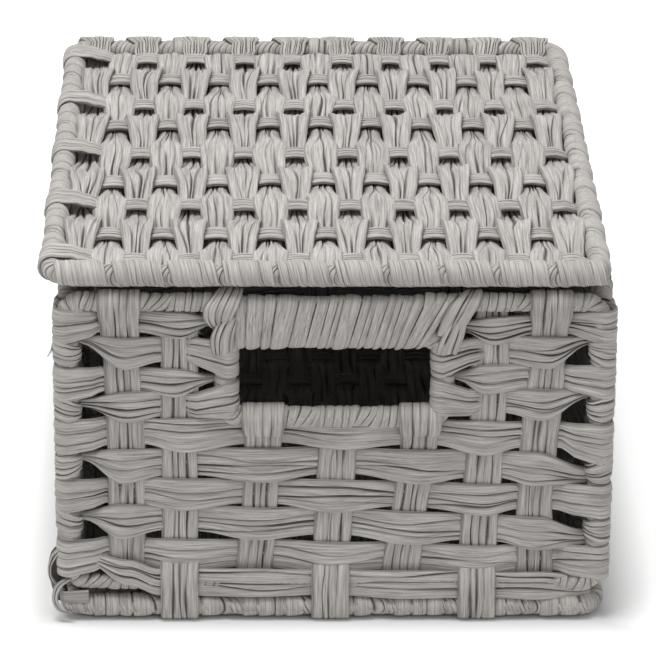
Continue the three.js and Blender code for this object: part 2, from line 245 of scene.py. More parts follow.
def layRibbon(batch, rows, ribbon, rng, alongX=True, cup=None, splay=None):
    # rows are runs of (u, h, middle, half), joined end to end; cup and splay are (places, values) along u
    rows = np.concatenate([np.asarray(run, float) for run in rows])
    keep = np.concatenate([[True], np.hypot(*np.diff(rows[:, :2], axis=0).T) > 0.3])
    rows = rows[keep]
    cups = np.interp(rows[:, 0], *cup) if cup else np.zeros(len(rows))
    splays = np.interp(rows[:, 0], *splay) if splay else np.ones(len(rows))
    addRibbon(batch, rows[:, :2], rows[:, 2], rows[:, 3], ribbon, rng, alongX, cups, splays)


def layBand(batch, points, count, widen, ribbon, rng):
    # a ribbon through a few points (x, z, h, half)
    points = np.array(points)
    stops = np.concatenate([[0], np.cumsum(np.linalg.norm(np.diff(points[:, :3], axis=0), axis=1))])
    at = np.linspace(0, stops[-1], count or max(6, int(stops[-1] / 2.6)))
    x, z, h = (np.interp(at, stops, points[:, k]) for k in range(3))
    x, z, h = (np.convolve(np.pad(values, 1, mode="edge"), (0.25, 0.5, 0.25), "valid") for values in (x, z, h))
    rows = np.column_stack([z, h, x, widen(at, stops, points[:, 3])])[::-1]
    layRibbon(batch, [rows], ribbon, rng, alongX=False)


# Rails: a tube whose surface follows the turns of ribbon wound round it. Each turn is given as
# (place along it, rise, how dark its colour is painted there); the first place is the seam, darkened as painted shade.
wrapProfile = ((0.0, -0.9, 0.9), (0.07, 0.3, 0.1), (0.22, 0.6, 0.0), (0.55, 0.55, 0.0), (0.85, 0.2, 0.0),
               (0.95, -0.2, 0.3))
liftBlend = 1.6


def loopLine(width, height, corner):
    # clockwise seen from the face, from the left end of the top: top, right, bottom, left
    pieces = [[[-width / 2 + corner, height / 2, 0, 1]]]
    for sideX, sideZ, start in ((1, 1, 90), (1, -1, 0), (-1, -1, -90), (-1, 1, -180)):
        angle = np.radians(np.linspace(start, start - 90, 13))
        pieces.append(np.stack([sideX * (width / 2 - corner) + corner * np.cos(angle),
                                sideZ * (height / 2 - corner) + corner * np.sin(angle),
                                np.cos(angle), np.sin(angle)], axis=1))
    line = np.concatenate(pieces)
    stops = lengthAlong(line[:, :2])
    return lambda s: np.stack([np.interp(s % stops[-1], stops, line[:, k]) for k in range(4)], axis=-1), stops[-1]


def windings(length, kind, rng, uneven=0.3):
    # turns of ribbon side by side along a rail: (length, slope, lift, seam depth)
    parts = rng.uniform(1 - uneven, 1 + uneven, max(1, int(round(length / kind["pitch"]))))
    parts *= length / parts.sum()
    return [(part, kind["slope"] + rng.uniform(-0.06, 0.06), kind["lift"] + rng.uniform(-0.15, 0.15),
             kind["seam"] * rng.uniform(0.5, 1.25)) for part in parts]


def mixedWindings(length, rng, tight, slant):
    # runs of close turns with short slanting runs between them
    wraps, room = [], length
    while room > 1:
        for kind in (tight, slant):
            run = min(room, rng.uniform(*kind["run"]))
            if run > 1:
                wraps += windings(run, kind, rng)
            room -= run
    return wraps


def addRail(batch, width, height, corner, wraps, rail, rng, middle=0.0):
    at, total = loopLine(width, height, corner)
    wraps = np.array(wraps, float)
    wraps[:, 0] *= total / wraps[:, 0].sum()
    starts = np.concatenate([[0], np.cumsum(wraps[:, 0])])
    turns = []
    for start, (length, slope, lift, seam) in zip(starts, wraps):
        crown = rng.uniform(0.6, 1.3)
        flip = rng.random() < 0.2
        for f, rise, dark in wrapProfile:
            place = start + (1 - f if flip and f else f) * length
            turns.append((place, rise * rail["relief"] * (crown if f else seam), min(1.0, dark * seam), slope, lift))
    turns = np.array(turns)
    places, rises, seamShades, slopes, lifts = turns[np.argsort(turns[:, 0])].T
    spacing = total / len(places)
    for values, reach in ((slopes, rail["blend"]), (lifts, liftBlend)):
        span = max(1, int(round(reach / spacing)))
        kernel = np.hanning(2 * span + 3)[1:-1]
        around = np.concatenate([values[-span:], values, values[:span]])
        values[:] = np.convolve(around, kernel / kernel.sum(), mode="valid")
    theta = np.arange(rail["around"]) / rail["around"] * 2 * math.pi
    place = at(places[:, None] + slopes[:, None] * rail["radius"] * np.sin(theta)[None])
    # a wound rail is never quite round
    r = (rail["radius"] + lifts + rises)[:, None] * (1 + 0.014 * np.sin(3 * theta[None] + places[:, None] * 0.31))
    rings = np.stack([place[..., 0] + r * np.sin(theta) * place[..., 2],
                      middle + place[..., 1] + r * np.sin(theta) * place[..., 3], r * np.cos(theta)], axis=-1)
    tones = 0.7 * np.repeat(rng.uniform(-1, 1, len(wraps)), len(wrapProfile))
    acrossUv, alongUv = places[:, None] / uvAcross + 7.3, theta[None] * rail["radius"] / uvAlong
    addRings(batch, rings, acrossUv, alongUv, seamShades[:, None], tones[:, None], closed=True)


# Materials
def newMaterial(name):
    material = bpy.data.materials.new(name)
    material.use_nodes = True
    return material, material.node_tree, material.node_tree.nodes["Principled BSDF"]


def setInputs(tree, node, inputs):
    # an input gets a value, or a link from another node's output
    for key, value in inputs.items():
        if isinstance(value, bpy.types.NodeSocket):
            tree.links.new(value, node.inputs[key])
        else:
            node.inputs[key].default_value = value


def addNode(tree, kind, inputs):
    node = tree.nodes.new("ShaderNode" + kind)
    setInputs(tree, node, inputs)
    return node


def addMath(tree, kind, *inputs):
    node = addNode(tree, "Math", dict(enumerate(inputs)))
    node.operation = kind
    return node.outputs[0]


def addNoise(tree, vector, scale, detail=2.0, rough=0.5):
    inputs = {"Vector": vector, "Scale": scale, "Detail": detail, "Roughness": rough}
    return addNode(tree, "TexNoise", inputs).outputs["Fac"]


def objectPlace(tree):
    return addNode(tree, "TexCoord", {}).outputs["Object"]


ribbonLook = {
    "color": (0.452, 0.428, 0.407), "shade": (0.026, 0.023, 0.020), "shadeMost": 0.9, "shadePower": 1.15,
    "sheen": {"Sheen Weight": 0.1, "Sheen Roughness": 0.4, "Specular IOR Level": 0.3}, "roughness": (0.43, 0.25),
    "fibre": (23.0, 0.7), "fibreReach": 2.4, "streak": (6.0, 0.4), "streakReach": 0.3, "patchScale": 42.0,
    "patchReach": 0.25, "toneReach": 0.05, "bump": {"Strength": 0.7, "Distance": 0.0005}, "bumpStreak": 0.6,
}


def ribbonMaterial(name, look):
    material, tree, shader = newMaterial(name)

    def number(kind, *inputs):
        return addMath(tree, kind, *inputs)

    def stretched(uvMap, scale):
        return addNode(tree, "Mapping", {"Vector": uvMap, "Scale": (*scale, 1.0)}).outputs["Vector"]

    def attribute(key):
        node = addNode(tree, "Attribute", {})
        node.attribute_name = key
        return node.outputs["Fac"]

    def mixed(factor, first, second):
        node = addNode(tree, "Mix", {})
        node.data_type = "RGBA"
        setInputs(tree, node, {"Factor": factor, "A": first, "B": second})
        return node

    def centred(value, reach):
        return number("MULTIPLY", number("SUBTRACT", value, 0.5), reach)

    uvNode = addNode(tree, "UVMap", {})
    uvNode.uv_map = "UVMap"
    uv = uvNode.outputs["UV"]
    fibre = addNoise(tree, stretched(uv, look["fibre"]), 1.0, 3.0, 0.75)
    streak = addNoise(tree, stretched(uv, look["streak"]), 1.0, 1.0)
    patch = addNoise(tree, objectPlace(tree), look["patchScale"])
    bright = number("ADD", centred(fibre, look["fibreReach"]), centred(streak, look["streakReach"]))
    bright = number("ADD", bright, centred(patch, look["patchReach"]))
    bright = number("ADD", bright, number("ADD", number("MULTIPLY", attribute("tone"), look["toneReach"]), 1.0))
    tinted = mixed(bright, (0, 0, 0, 1), (*look["color"], 1))
    tinted.clamp_factor = False
    # painted shade: the crease attribute mixes the colour towards the near-black shade colour in creases, rail seams,
    # under pleats, at ribbon edges and at ribbon tips
    crease = number("POWER", attribute("crease"), look["shadePower"])
    crease.node.use_clamp = True
    shade = number("MULTIPLY", crease, look["shadeMost"])
    darkened = mixed(shade, tinted.outputs["Result"], (*look["shade"], 1))
    bump = addNode(tree, "Bump", look["bump"])
    setInputs(tree, bump, {"Height": number("ADD", fibre, number("MULTIPLY", streak, look["bumpStreak"]))})
    least, more = look["roughness"]
    rough = number("ADD", number("MULTIPLY", fibre, more), least)
    setInputs(tree, shader, {**look["sheen"], "Base Color": darkened.outputs["Result"], "Roughness": rough,
                             "Normal": bump.outputs["Normal"]})
    return material


greyRibbon = ribbonMaterial("greyRibbon", ribbonLook)

# Woven field of a wall: ten weavers round upright stakes. A block is (half width, shift).
weaving = {
    "rows": 10, "topShow": 11.0, "over": 2.1, "under": -1.7, "spacing": 3.1, "sag": -1.2, "neck": 7.6, "hidden": 5.6,
    "beside": 10.2, "stakeEdge": 10.8, "block": (10.3, -0.4), "handleBlocks": {1: (10.6, -3.0), 3: (10.6, 4.0)},
    "tip": 2.4, "handleTaper": 0.5, "postRadius": 6.3, "handleRadius": 6.2,
    "heights": (15.6, 18.7, 16.8, 17.8, 19.2, 19.6, 18.8, 19.4, 20.4, 18.4),
    # the lowest weaver lies out over the base's rail
    "lastLift": 3.0, "lastUnder": 1.7, "lastNeck": 1.2, "lastHidden": 2.6,
    "ribbon": {"width": 18.5, "pleats": 4, "backPleats": 3, "cuts": (-1.0, -0.52, -0.12, 0.32, 1.0),
               "weights": (1, 0.85, 1.25, 0.8, 1), "depth": 0.55, "drift": 34.0, "stray": 1.15, "spread": 0.9,
               "relief": 0.56, "crease": 1.3, "thickness": 1.1, "curl": 0.3, "groove": 0.19, "tilt": 0.45},
}
staking = {
    "half": 9.7, "over": 0.25, "under": -0.1, "spacing": 3.4, "radius": 5.8, "handleRadius": 6.6, "wider": 1.4,
    "ribbon": {"width": 19.4, "pleats": 4, "backPleats": 3, "cuts": (-1.0, -0.36, 0.0, 0.34, 1.0),
               "weights": (1, 0.9, 0.8, 0.9, 1), "depth": 0.75, "drift": 17.0, "stray": 0.4, "spread": 0.7,
               "relief": 0.42, "crease": 0.9, "thickness": 1.0, "curl": 0.12, "groove": 0.26, "tilt": 0.0},
}
frontStakes = [-108.5, -80.0, -40.0, 0.0, 40.0, 80.0, 108.5]
sideStakes = [40.0 * (i - 3.5) for i in range(8)]
# The front wall as woven: rise of each row above its even place at four places from left to right,
# shift of each stake at five levels from the top, and where a tapering weaver meets the post.
# Some blocks and tips are wider than the others.
handWork = {
    "across": (-100.0, 0.0, 80.0, 125.0),
    "rows": ((1.5, 1.5, -1.6, 0.5), (1.7, 1.7, 1.8, 2.0), (1.1, 2.2, 3.4, 2.5), (3.3, 4.4, 5.5, 4.5),
             (3.7, 5.0, 2.1, 1.5), (2.3, 3.0, 0.8, 0.5), (2.0, 0.9, -1.4, -1.5), (2.8, 0.5, -3.5, -4.7),
             (-1.1, -3.1, -5.5, -4.5), (-1.0, -1.2, -3.0, -2.8)),
    "down": (-70.0, -35.0, 0.0, 35.0, 70.0),
    "stakes": ((0.0, 0.0, 0.0, -1.2, -2.9), (-0.9, -0.5, -0.7, -0.6, -0.5), (-1.5, 0.9, 2.6, 3.4, 3.4),
               (-1.5, 0.3, 1.8, 2.0, 2.0), (-4.4, -0.3, 4.4, 5.0, 5.0), (-4.4, -3.0, -0.8, 0.3, 1.0),
               (-2.3, -3.3, -1.9, 0.9, 2.7)),
    "tapers": {1: (6.5, 5.5), 3: (1.0, 5.4), 5: (4.4, -5.5), 7: (1.6, -4.0), 9: (14.0, -2.0)},
    "blocks": {(4, 1): (12.6, -2.8), (8, 0): (11.2, -1.0)}, "tips": {(5, 1): 4.8, (7, 1): 4.6, (9, 1): 6.2},
    "leastNeck": 0.0, "lastTrim": 1.3, "lastSag": 0.3, "firstRise": 6.6, "firstTrim": 0.9,
}
rowPitch = (panels["front"]["size"][1] + 2 * railRadius - weaving["topShow"]) / weaving["rows"]


def evenLevel(row):
    return panels["front"]["size"][1] / 2 + railRadius - weaving["topShow"] - (row + 0.5) * rowPitch


def wallPlan(panel, stakes, rng):
    # where the rows and stakes of a wall really run, by hand and never quite straight
    if panel == "front":
        return handWork
    drift = np.cumsum(rng.uniform(-1.3, 1.3, (weaving["rows"], 4)), axis=0)
    drift -= drift.mean(axis=0)
    drift[-1] = 0.3 * np.abs(drift[-1])
    lean = rng.uniform(-2.2, 2.2, (len(stakes), 1)) * np.linspace(1, -1, 5)[None]
    lean = lean + rng.uniform(-0.8, 0.8, (len(stakes), 5))
    edge, sag = panels[panel]["size"][0] / 2, weaving["sag"]
    return {"across": np.linspace(-edge, edge, 4), "rows": drift, "down": handWork["down"], "stakes": lean,
            "tapers": {row: tuple(rng.uniform(-4.5, 6.0, 2)) for row in range(1, weaving["rows"], 2)},
            "blocks": {}, "tips": {}, "leastNeck": 8.4, "lastTrim": 1.0, "lastSag": sag, "firstRise": sag,
            "firstTrim": 0.0}


def levelAt(plan, row, u):
    return evenLevel(row) + np.interp(u, plan["across"], plan["rows"][row])


def stakeAt(plan, stakes, number, z):
    return stakes[number] + np.interp(z, plan["down"], plan["stakes"][number])


def weaveRow(batch, row, left, right, between, stakes, plan, edge, rng):
    odd, last = row % 2 == 0, row == weaving["rows"] - 1
    lift = weaving["lastLift"] * last
    big = weaving["heights"][row] / 2 - plan["lastTrim"] * last
    neck = max(weaving["neck"] * big / 9.3 + weaving["lastNeck"] * last, plan["leastNeck"])
    hidden = weaving["hidden"] + weaving["lastHidden"] * last
    crossings, widths = [], []  # (place, height) and (place, half, middle)
    for number in between:
        stake = stakeAt(plan, stakes, number, evenLevel(row))
        if (number % 2 == 1) == odd:
            first = last and number == 0
            middle = plan["firstRise"] if first else plan["lastSag"] if last else weaving["sag"]
            crossings.append((stake, weaving["over"] + lift))
            place = stake + rng.uniform(-3, 3)
            half = big + rng.uniform(-0.3, 0.5) - plan["firstTrim"] * first
            widths.append((place, half, middle + rng.uniform(-0.3, 0.3)))
        else:
            crossings.append((stake, weaving["under"] + (lift + weaving["lastUnder"]) * last))
            for step in (-1, 0, 1):
                half = neck + rng.uniform(-0.4, 0.4) if step else hidden
                widths.append((stake + step * weaving["beside"], half, 0.2))
    runs = [[], []]
    for side, post in ((0, left), (1, right)):
        sign = 2 * side - 1
        isPost = abs(abs(post) - edge) < 1
        level = levelAt(plan, row, post)
        if odd if isPost else not odd:
            # a block round the post, fanned out, with its ends tucked in behind
            wide, shift = plan["blocks"].get((row, side), weaving["block"]) if isPost else weaving["handleBlocks"][row]
            radius = weaving["postRadius"] if isPost else weaving["handleRadius"]
            runs[side] = roundRail(post, radius, 90 - sign * 6, 90 - sign * 240, level + shift, wide, 13)
            runs[side][:, 3] += np.linspace(-0.5, 0.6, 13)
            if isPost:  # flat as far as the stake's edge, then under it
                stakeEdge = crossings[-side][0] + sign * weaving["stakeEdge"]
                crossings.insert(len(crossings) * side, (stakeEdge, -1.0))
            crossing, width = (post - sign * 12.5, 3.0), (post - sign * 5.0, wide - 0.6, shift)
        else:
            rise = plan["tapers"][row][side] if isPost else weaving["handleTaper"]
            tip = plan["tips"].get((row, side), weaving["tip"])
            runs[side] = np.array([[post - sign * 2.5, -2.0, level + rise, tip - 1.1]])
            crossing, width = (post - sign * 8.0, 0.4), (post - sign * 7.0, tip, rise * 0.95)
        crossings.insert(len(crossings) * side, crossing)
        widths.insert(len(widths) * side, width)
    stops, heights = zip(*crossings)
    places, halves, middles = zip(*widths)
    u = np.arange(stops[0], stops[-1], weaving["spacing"])
    middle = levelAt(plan, row, u) + eased(u, places, middles)
    field = np.stack([u, eased(u, stops, heights), middle, eased(u, places, halves)], axis=1)
    layRibbon(batch, [runs[0][::-1], field, runs[1]], weaving["ribbon"], rng)


def standStake(batch, number, panel, stakes, plan, rng):
    odd = number % 2 == 0
    top = panels[panel]["size"][1] / 2
    half = staking["half"]
    inHandle = panel == "front" and abs(stakes[number]) < handle["width"] / 2
    reach = handle["middle"] - handle["height"] / 2 if inHandle else top
    strapped = panel == "front" and not odd  # its lowest crossing belongs to the strap
    stops, heights = ([], []) if strapped else ([-top - 2.0], [-1.2 if odd else 6.0])
    for row in range(weaving["rows"] - 1 - strapped, handle["rows"] - 1 if inHandle else -1, -1):
        stops.append(float(levelAt(plan, row, stakes[number])))
        heights.append(staking["over"] if (row % 2 == 0) == odd else staking["under"])
        if row == weaving["rows"] - 1 and not odd:
            heights[-1] = 5.9
    u = np.arange(stops[0], stops[-1], staking["spacing"])
    middle = stakeAt(plan, stakes, number, u) + 0.3 * wander(u, 30.0, rng)
    field = np.stack([u, eased(u, stops, heights), middle, half + 0.5 * wander(u, 16.0, rng)], axis=1)
    end = float(stakeAt(plan, stakes, number, reach))
    if odd:
        wide = half + staking["wider"]
        radius = staking["handleRadius"] if inHandle else staking["radius"]
        runs = [field, [[reach - 8.5, 3.6, end, wide - 0.6]], roundRail(reach, radius, 130, -120, end, wide, 13)]
    else:
        runs = [field, [[reach - 3.0, -2.0, end, half - 2.0]]]
    layRibbon(batch, runs, staking["ribbon"], rng, alongX=False)


def weaveWall(panel, stakes, seed):
    rng = np.random.default_rng(seed)
    edge, hole = panels[panel]["size"][0] / 2, handle["width"] / 2
    plan = wallPlan(panel, stakes, rng)
    weavers, uprights = newBatch(), newBatch()
    numbers = list(range(len(stakes)))
    beside = ((-edge, -hole, numbers[:2]), (hole, edge, numbers[-2:]))  # the hand hole
    for row in range(weaving["rows"]):
        whole = panel != "front" or row >= handle["rows"]
        for left, right, between in ((-edge, edge, numbers),) if whole else beside:
            weaveRow(weavers, row, left, right, between, stakes, plan, edge, rng)
    for number in numbers:
        standStake(uprights, number, panel, stakes, plan, rng)
    weavePiece(weavers, panel, "weavers")
    weavePiece(uprights, panel, "stakes")


# Wrapped rails of the walls; the lowest rail is thin because the last weaver covers it, and the
# top rail is thin under the grip
railing = {
    "radius": 5.8, "relief": 0.75, "around": 22, "blend": 7.0, "corner": 10.0, "bend": 15.7, "gripHalf": 50.0,
    "topThinner": 1.1, "gripThinner": 3.0, "lowThinner": {"front": 1.6, "rear": -1.3, "left": -0.6, "right": -0.6},
    "tight": {"run": (20, 32), "pitch": 4.4, "slope": 0.12, "lift": 0.0, "seam": 0.9},
    "slant": {"run": (8, 14), "pitch": 4.2, "slope": 0.8, "lift": -0.35, "seam": 1.3},
}


def wallRail(panel, seed):
    rng = np.random.default_rng(seed)
    width, height = panels[panel]["size"]
    batch = newBatch()
    wraps = []
    for run, side in enumerate((width, height, width, height)):
        part = mixedWindings(side - 2 * railing["corner"] + railing["bend"], rng, railing["tight"], railing["slant"])
        thinner = (railing["topThinner"], 0.0, railing["lowThinner"][panel], 0.0)[run]
        places = np.cumsum([wrap[0] for wrap in part]) - side / 2 + railing["corner"]
        inGrip = (np.abs(places) < railing["gripHalf"]) & (panel == "front") & (run == 0)
        wraps += [(length, slope, lift - (railing["gripThinner"] if hidden else thinner), seam)
                  for (length, slope, lift, seam), hidden in zip(part, inGrip)]
    addRail(batch, width, height, railing["corner"], wraps, railing, rng)
    weavePiece(batch, panel, "rails")


for panel, stakes, seed in (("front", frontStakes, 11), ("rear", frontStakes, 12),
                            ("left", sideStakes, 13), ("right", sideStakes, 14)):
    weaveWall(panel, stakes, seed)
    wallRail(panel, seed + 20)
print("walls woven")


# Handle: rails round the hand hole
def handleRail():
    rng = np.random.default_rng(40)
    batch = newBatch()
    wraps = []
    tight, slant = {**railing["tight"], "pitch": handle["pitch"]}, {**railing["slant"], "run": handle["slantRun"]}
    width, height, corner = handle["width"], handle["height"], handle["corner"]
    for side in (width, height, width, height):
        wraps += mixedWindings(side - 2 * corner + handle["bend"], rng, tight, slant)
    for inset, rounding, radius in ((0.0, corner, handle["radius"]),
                                    (handle["inset"], handle["insideCorner"], handle["insideRadius"])):
        rail = {**railing, "radius": radius}
        addRail(batch, width - inset, height - inset, rounding, wraps, rail, rng, handle["middle"])
    batchToPiece(batch, "handle_rails", "front")


handleRail()

# Grip: ribbon wound round the top rail and the handle's upper rod
grip = {
    "from": -52.0, "to": 54.0, "reach": (5.2, 6.0), "levels": (76.8, 60.0), "pivot": 69.5, "relief": 1.1,
    "turns": {"pitch": 5.8, "slope": 0.0, "lift": 0.0, "seam": 1.0}, "uneven": 0.6,
    "leanAt": (-52.0, -44.0, -20.0, 30.0, 54.0), "lean": (0.0, 0.05, 0.24, 0.3, 0.62), "tone": 0.1,
}


def windGrip():
    rng = np.random.default_rng(70)
    batch = newBatch()
    angle = np.radians(np.linspace(0, 180, 11))
    half = np.stack([np.sin(angle), np.cos(angle)], 1)
    outward = np.concatenate([half, -half])
    centres, radii = np.repeat(grip["levels"], len(angle)), np.repeat(grip["reach"], len(angle))
    turns, start = [], grip["from"]
    for length, lean, lift, seam in windings(grip["to"] - start, grip["turns"], rng, grip["uneven"]):
        crown = rng.uniform(0.3, 1.5)
        for f, rise, dark in wrapProfile:
            height = rise * grip["relief"] * (crown if f else seam) + 1.5 * lift
            # painted shade: only the seam of each turn is darkened
            turns.append((start + f * length, height, 0.0 if f else min(1.0, dark * seam), 0.5 * lean))
        start += length
    places, rises, seamShades, shifts = np.array(turns).T
    lean = np.interp(places, grip["leanAt"], grip["lean"]) + shifts
    reach = radii[None] + rises[:, None]
    z = centres[None] + reach * outward[None, :, 0]
    h = reach * outward[None, :, 1]
    rings = np.stack([places[:, None] + lean[:, None] * (z - grip["pivot"]), z, h], axis=-1)[:, ::-1]
    turned = lengthAlong(rings[0, :, 1:]) / uvAlong
    addRings(batch, rings, places[:, None] / uvAcross, turned[None], seamShades[:, None], grip["tone"])
    batchToPiece(batch, "grip_wraps", "front", ["handle_grip"])


# Bundles of ribbon where the grip meets the top rail and the handle's posts: points (x, z, h, half) and pleats
bundles = (
    (((-53.5, 85.5, -3.0, 6.4), (-55.5, 83.6, 4.0, 7.6), (-58.5, 79.5, 7.4, 8.8), (-60.5, 74.0, 6.9, 8.2),
      (-60.5, 69.0, 5.4, 6.4), (-58.5, 66.0, 3.5, 5.4)), 5),
    (((-53.5, 73.0, 4.6, 4.6), (-56.5, 68.0, 6.9, 5.6), (-58.5, 62.0, 7.4, 6.2), (-58.5, 56.0, 6.6, 6.0),
      (-58.5, 52.0, 5.6, 5.2)), 4),
    (((65.0, 76.0, 3.6, 3.6), (63.0, 70.0, 6.4, 4.8), (60.5, 62.0, 7.0, 5.8), (58.0, 56.0, 6.6, 5.8),
      (57.5, 52.0, 5.6, 5.4)), 3),
    (((71.0, 84.5, -2.0, 5.0), (69.5, 84.0, 3.5, 6.2), (66.0, 79.5, 6.9, 7.6), (61.5, 71.0, 6.9, 7.2),
      (57.5, 62.0, 5.2, 5.6)), 3),
)
bundleRibbon = {**weaving["ribbon"], "width": 14.0, "depth": 0.45}


def layBundles():
    rng = np.random.default_rng(75)
    batch = newBatch()
    for points, pleats in bundles:
        even = {"pleats": pleats, "cuts": np.linspace(-1, 1, pleats + 1), "weights": np.ones(pleats + 1)}
        layBand(batch, points, None, np.interp, {**bundleRibbon, **even}, rng)
    batchToPiece(batch, "handle_bundles", "front")


windGrip()
layBundles()
print("handle made")

# Woven field of the lid and the base
flatWeaving = {
    "columns": 19, "first": -128.0, "pitch": 14.22, "bars": 9, "barPitch": 40.0, "over": 2.9, "under": -2.6,
    "spacing": 2.9, "baseSpacing": 5.0, "baseLeast": 7.3, "baseFlatter": 0.2, "endLeast": 7.0, "endWider": 1.4,
    # how far each bar has been pushed back, at its left end, in the middle and at its right end
    "barShifts": ((-3, -3, -3), (-5.5, -5.5, -5), (-2.5, -2.5, -3), (-8, -1, -3), (0, 0, 1), (5, 12, 8),
                  (1.5, 1.5, 2), (6, 6, 4), (3, 3, 3)),
    "ribbon": {"width": 16.0, "pleats": 4, "backPleats": 3, "cuts": (-1.0, -0.48, -0.02, 0.4, 1.0),
               "weights": (1, 0.8, 1.3, 0.8, 1), "depth": 0.5, "drift": 26.0, "stray": 0.55, "spread": 0.7,
               "relief": 1.0, "crease": 1.5, "thickness": 1.1, "curl": 0.3, "groove": 0.3, "tilt": 0.1},
    # from 40 mm in front of a bar to 40 mm behind it: half widths, how far the edges stand up and how the
    # pleats part, for the weavers gathered at the back and those in front; the middle of the last ones sinks
    "stops": (-40.0, -33.0, -23.0, -12.0, 0.0, 12.0, 23.0, 33.0, 40.0),
    "back": {"gather": (7.0, 7.3, 7.9, 8.9, 9.6, 9.7, 8.4, 6.6, 6.6),
             "cup": (0.0, -0.2, -0.4, -0.7, -1.1, -1.9, -2.4, -2.2, -1.0),
             "splay": (1.1, 1.2, 1.2, 1.15, 0.95, 0.68, 0.42, 0.28, 0.4)},
    "front": {"gather": (6.6, 6.7, 7.1, 7.9, 9.1, 9.6, 9.0, 7.2, 6.4),
              "cup": (0.0, 0.0, 0.3, 1.0, 2.2, 3.0, 2.2, 0.2, 0.0),
              "splay": (0.7, 0.55, 0.55, 0.7, 0.95, 1.15, 1.3, 1.2, 0.9)},
    "sink": (0.0, 0.0, 0.0, 0.0, 0.0, -0.8, -2.0, -2.0, -0.5),
}
flatBars = {
    "width": 14.2, "over": 1.7, "under": -0.2, "spacing": 3.3, "baseSpacing": 5.0, "endHeight": 2.0,
    "blockHeights": (5.6, 4.2), "blockHalf": 10.2, "lidRadius": 6.4, "baseRadius": 6.0,
    "ribbon": {"width": 14.6, "pleats": 4, "backPleats": 3, "depth": 0.8, "drift": 20.0, "stray": 0.8, "spread": 0.8,
               "relief": 0.5, "crease": 1.0, "thickness": 1.3, "curl": 0.15, "groove": 0.3, "tilt": 0.2},
}
railBlocks = {
    "half": 12.6, "rearTrim": 2.4, "radius": {"lid": 6.7, "base": 5.3}, "flatter": {"lid": 1.07, "base": 0.62},
    "behind": 0.55, "slant": {-1: 5.5, 1: -7.0},
    # where a weaver fans out towards the rail: (back from the rail, height, shift, half)
    "fan": ((19.0, -1.4, -1.0, 4.0), (15.5, 0.3, -1.0, 5.2), (11.5, 2.6, -0.5, 7.4)),
    "ribbon": {"width": 24.0, "pleats": 9, "backPleats": 2, "depth": 0.22, "drift": 16.0, "stray": 0.8, "spread": 1.0,
               "relief": 0.5, "crease": 0.6, "thickness": 1.0, "curl": 0.25, "groove": 0.2, "tilt": 0.1},
}


def layColumn(batch, i, columns, bars, shifts, panel, rng):
    height = panels[panel]["size"][1]
    odd, column = i % 2 == 0, columns[i]
    kind = flatWeaving["front" if odd else "back"]
    crossed = [bar + shift[i] for bar, shift in zip(bars, shifts)]
    stops = [-height / 2 + 9.0] + crossed + [height / 2 - 9.0]
    over, under = flatWeaving["over"], flatWeaving["under"]
    heights = [0.0] + [over if (j % 2 == 1) == odd else under for j in range(len(bars))] + [0.0]
    u = np.arange(stops[0], stops[-1], flatWeaving["spacing" if panel == "lid" else "baseSpacing"])
    even = np.interp(u, [-height / 2] + crossed + [height / 2], [-height / 2] + bars + [height / 2])
    ahead = (even + 160.0 + (0 if odd else 40.0)) % 80.0 - 40.0  # 0 over a bar, 40 at the next
    at, flatter = flatWeaving["stops"], flatWeaving["baseFlatter"]
    halves = eased(ahead, at, kind["gather"]) * (1 + 0.06 * wander(u, 30.0, rng))
    cups = np.interp(ahead, at, kind["cup"]) * (1 + 0.4 * wander(u, 50.0, rng))
    splays = np.interp(ahead, at, kind["splay"])
    middles = column + 0.9 * wander(u, 24.0, rng)
    sink = eased(ahead, at, flatWeaving["sink"]) * odd
    if panel == "base":
        halves, cups, sink = np.maximum(halves, flatWeaving["baseLeast"]), flatter * cups, flatter * sink
    if i in (0, len(columns) - 1):
        halves = np.maximum(halves, flatWeaving["endLeast"] + flatWeaving["endWider"] * (u > 145.0))
        sink = 0.5 * sink
    field = np.stack([u, eased(u, stops, heights) + sink, middles, halves], axis=1)
    front, rear = ([[side * (height / 2 - 4.0), -2.2, column, 3.6]] for side in (-1, 1))
    layRibbon(batch, [front, field, rear], flatWeaving["ribbon"], rng, False, (u, cups), (u, splays))


def layRailBlock(batch, column, side, panel, rng):
    # the fanned end of a weaver, turned round the rail
    end = side * panels[panel]["size"][1] / 2
    slant = railBlocks["slant"][side] + rng.uniform(-1.2, 1.2)
    fan = np.array([[end - side * back, rise, column + shift, half] for back, rise, shift, half in railBlocks["fan"]])
    half = railBlocks["half"] - (railBlocks["rearTrim"] if side > 0 else 0.0)
    turn = roundRail(end, railBlocks["radius"][panel], 90 + side * 38, 90 - side * 190, column, half, 16)
    turn[:, 1] *= np.where(turn[:, 1] < 0, railBlocks["behind"], railBlocks["flatter"][panel])
    turn[:, 2] = column + rng.uniform(-0.8, 0.8) + np.linspace(0, slant, 16)
    turn[:, 3] += rng.uniform(-0.8, 0.4)
    turn[:2, 3] -= (3.0, 1.0)
    runs = [fan, turn] if side > 0 else [turn[::-1], fan[::-1]]
    layRibbon(batch, runs, railBlocks["ribbon"], rng, alongX=False)


